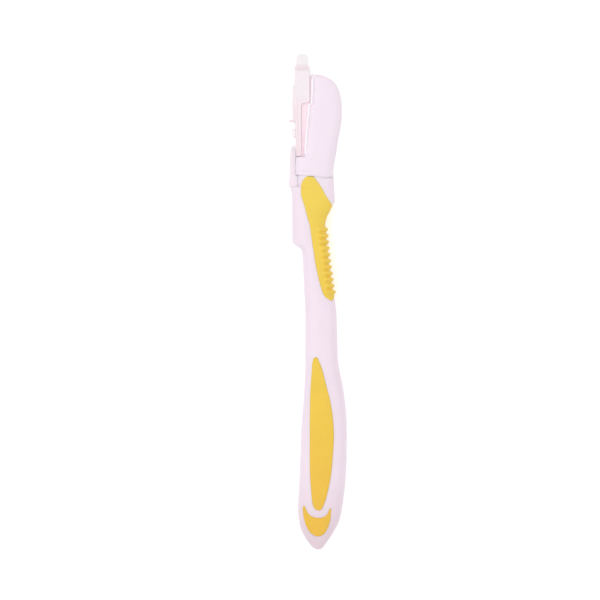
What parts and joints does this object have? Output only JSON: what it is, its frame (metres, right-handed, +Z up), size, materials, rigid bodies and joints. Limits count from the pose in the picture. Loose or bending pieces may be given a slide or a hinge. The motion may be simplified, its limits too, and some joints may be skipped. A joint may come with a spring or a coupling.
{
  "type": "eyebrow razor",
  "caption": "Slim face razor with a soft-gripped handle, a finger plate, a slide-in guarded blade cartridge, a pull-off safety cap and a release lever.",
  "frame": {"origin": "middle of the razor's footprint on the surface it lies on, cap fitted", "axes": "+Y along the razor from the tail to the cap, +Z up from its back to its front face, +X towards the side away from the cutting edge"},
  "size_m": [0.0182, 0.155, 0.0083],
  "materials": {
    "lilac_plastic": "moulded ABS, satin gloss",
    "head_plastic": "moulded ABS, smooth gloss",
    "yellow_grip": "matte overmoulded elastomer",
    "cartridge_plastic": "fine matte polypropylene",
    "cap_plastic": "milky translucent polypropylene",
    "lever_plastic": "moulded acetal",
    "blade_steel": "rolled stainless strip with a ground edge",
    "pin_steel": "drawn stainless wire"
  },
  "bodies": {
    "handle": {"handle_core": "lilac_plastic", "thumb_grip": "yellow_grip", "palm_grip": "yellow_grip", "tail_grip": "yellow_grip", "head_cover": "head_plastic", "head_rear_shell": "lilac_plastic", "lever_pin": "pin_steel"},
    "cartridge": {"blade_carrier": "cartridge_plastic", "blade": "blade_steel", "blade_guard": "cartridge_plastic"},
    "cap": {"safety_cap": "cap_plastic"},
    "lever": {"release_lever": "lever_plastic"}
  },
  "joints": [
    {"name": "cartridge_slide", "type": "slide", "parent": "handle", "child": "cartridge", "axis": [0, 1, 0], "range_m": [0, 0.027]},
    {"name": "cap_slide", "type": "slide", "parent": "cartridge", "child": "cap", "axis": [0, 1, 0], "range_m": [0, 0.03]},
    {"name": "lever_pivot", "type": "hinge", "parent": "handle", "child": "lever", "pos_m": [-0.00606, 0.04244, 0.0026], "axis": [0, 0, 1], "range_deg": [0, 3], "stiffness_Nm_per_rad": 0.02}
  ]
}
